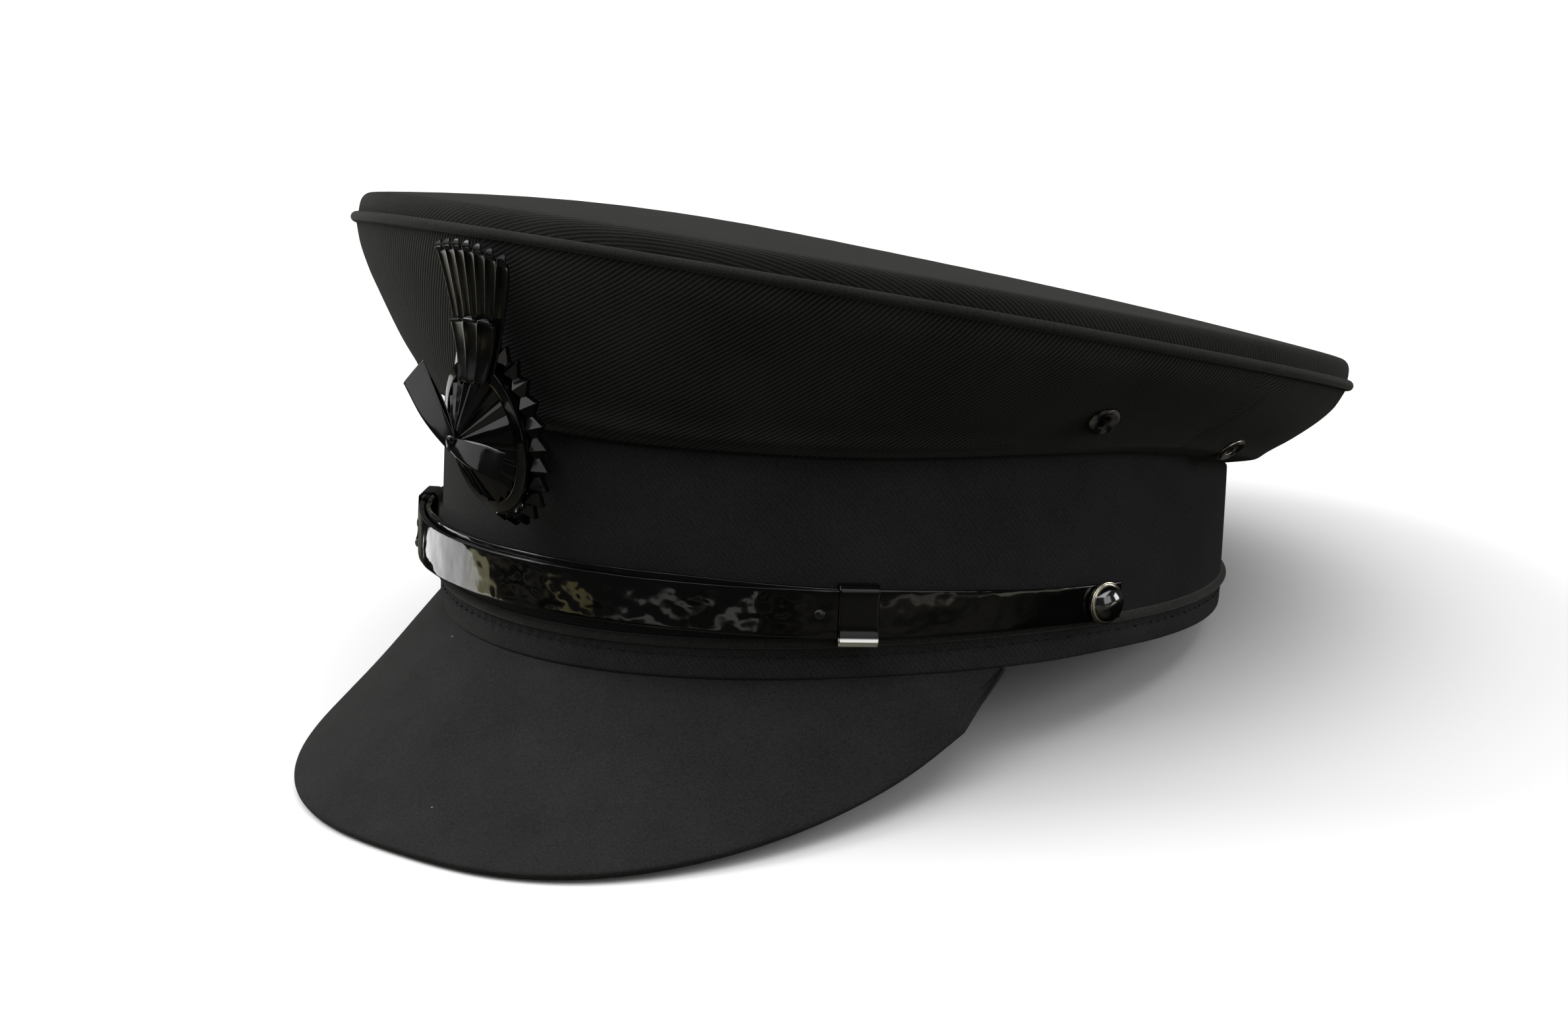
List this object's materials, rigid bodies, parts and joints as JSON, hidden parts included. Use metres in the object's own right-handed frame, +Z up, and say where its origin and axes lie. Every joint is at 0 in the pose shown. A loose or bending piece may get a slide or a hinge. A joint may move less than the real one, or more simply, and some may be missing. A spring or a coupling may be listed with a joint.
{
  "type": "chauffeur cap",
  "caption": "Peaked cap with a wide sloping crown, a stiff band, a downturned cloth-covered visor, a patent chin strap and an upright fan cockade.",
  "frame": {"origin": "middle of the overall box's base: the surface that the cap stands on, under the visor's edge and the rear of the band", "axes": "-Y is the front, where the visor points; +X is the wearer's left; +Z is up from the surface that the cap stands on"},
  "size_m": [0.24, 0.2816, 0.1366],
  "materials": {
    "crown_cloth": "black gabardine twill with a soft worn sheen",
    "band_cloth": "fine black melton cloth, matt",
    "cord_cloth": "black cloth drawn over cord",
    "visor_cloth": "fine black cloth pressed over board",
    "strap_leather": "patent, mirror gloss",
    "cockade_leather": "moulded patent, high gloss",
    "black_enamel": "black enamel, high gloss",
    "eyelet_metal": "black enamel worn to bright metal on the rolled edge",
    "fixing_metal": "dark satin"
  },
  "bodies": {
    "root": {"crown_top": "crown_cloth", "crown_side": "crown_cloth", "band": "band_cloth", "band_foot": "band_cloth", "crown_piping": "cord_cloth", "band_welt": "cord_cloth", "visor": "visor_cloth", "chin_strap_left": "strap_leather", "chin_strap_right": "strap_leather", "cockade_rosette": "cockade_leather", "cockade_ring": "cockade_leather", "cockade_cone": "cockade_leather", "cockade_bow": "cockade_leather", "cockade_plume": "cockade_leather", "cockade_plume_front": "cockade_leather", "button_left": "black_enamel", "button_right": "black_enamel", "slide_left": "black_enamel", "slide_right": "black_enamel", "eyelet_left_front": "eyelet_metal", "eyelet_left_rear": "eyelet_metal", "eyelet_right_front": "eyelet_metal", "eyelet_right_rear": "eyelet_metal", "rivet_left": "fixing_metal", "rivet_right": "fixing_metal", "cockade_post": "fixing_metal"}
  },
  "joints": []
}
